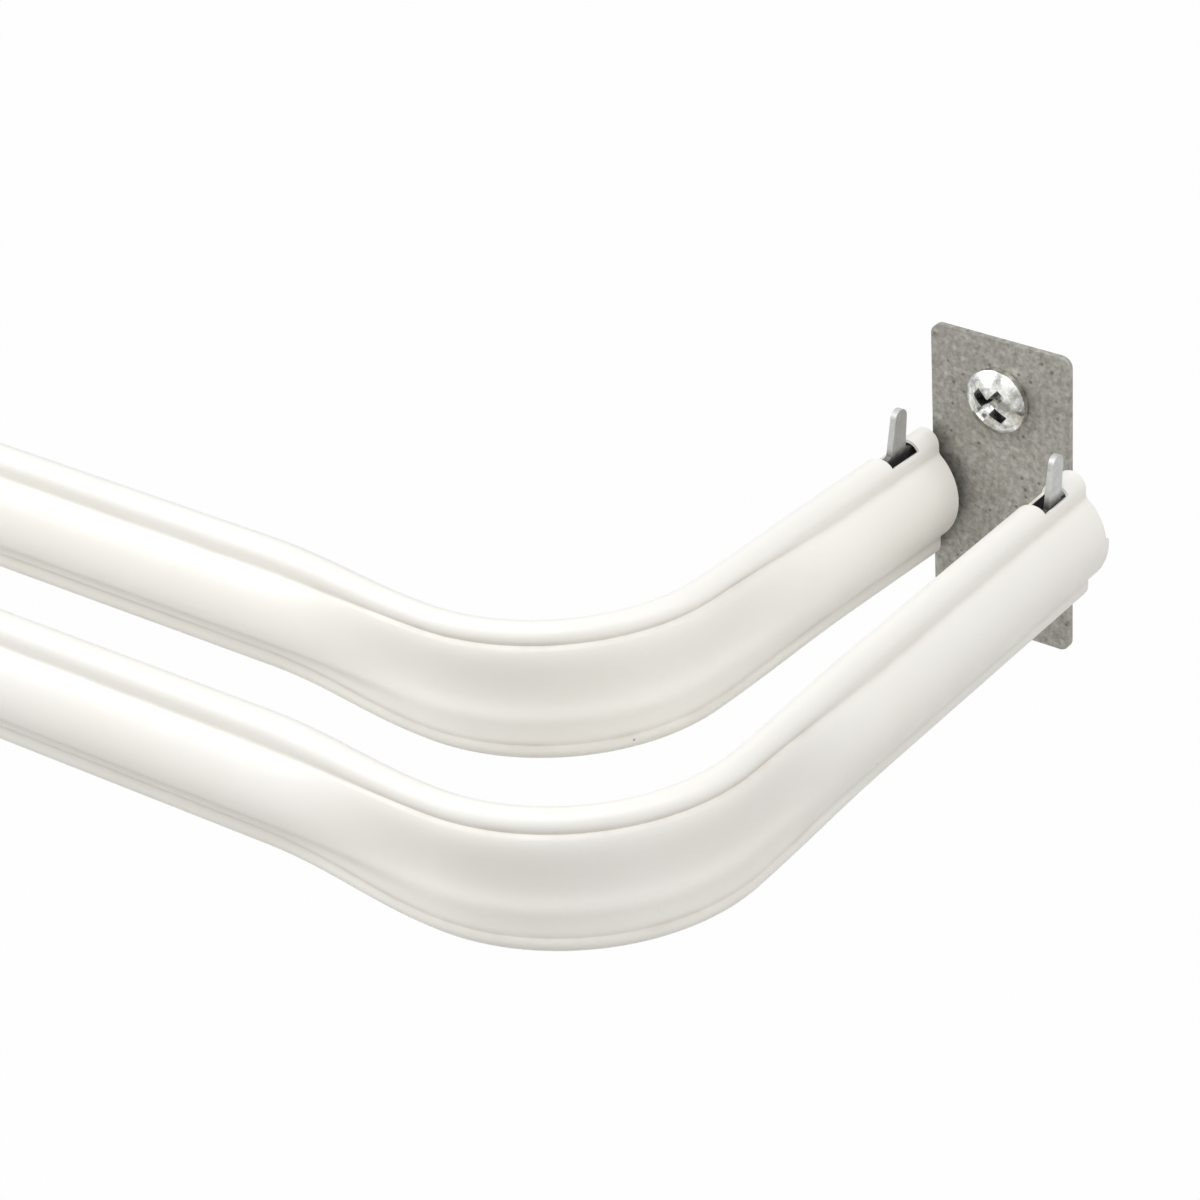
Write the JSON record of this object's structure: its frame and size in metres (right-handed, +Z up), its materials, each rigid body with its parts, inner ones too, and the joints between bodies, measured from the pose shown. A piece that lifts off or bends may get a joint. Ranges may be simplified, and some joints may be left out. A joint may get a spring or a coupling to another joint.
{
  "type": "double lockseam curtain rod",
  "caption": "Telescoping double curtain rod of rolled sheet steel with a back lock seam, returns bent to the wall, and steel wall brackets with screws.",
  "frame": {"origin": "middle of the right bracket's back face, on the wall", "axes": "+X along the wall to the viewer's right, +Y into the wall, +Z up; the rod reaches from the origin towards -X and stands out towards -Y"},
  "size_m": [0.7443, 0.1124, 0.0406],
  "materials": {
    "white_paint": "semi-gloss white enamel",
    "galvanised_steel": "dull galvanised",
    "bright_zinc": "bright zinc plate"
  },
  "bodies": {
    "right_half": {"right_bracket": "galvanised_steel", "right_upper_screw": "bright_zinc", "right_lower_screw": "bright_zinc", "rear_rod_outer_section": "white_paint", "front_rod_outer_section": "white_paint"},
    "left_half": {"left_bracket": "galvanised_steel", "left_upper_screw": "bright_zinc", "left_lower_screw": "bright_zinc", "rear_rod_inner_section": "white_paint", "front_rod_inner_section": "white_paint"}
  },
  "joints": [
    {"name": "rod_slide", "type": "slide", "parent": "right_half", "child": "left_half", "axis": [-1, 0, 0], "range_m": [0, 0.508]}
  ]
}
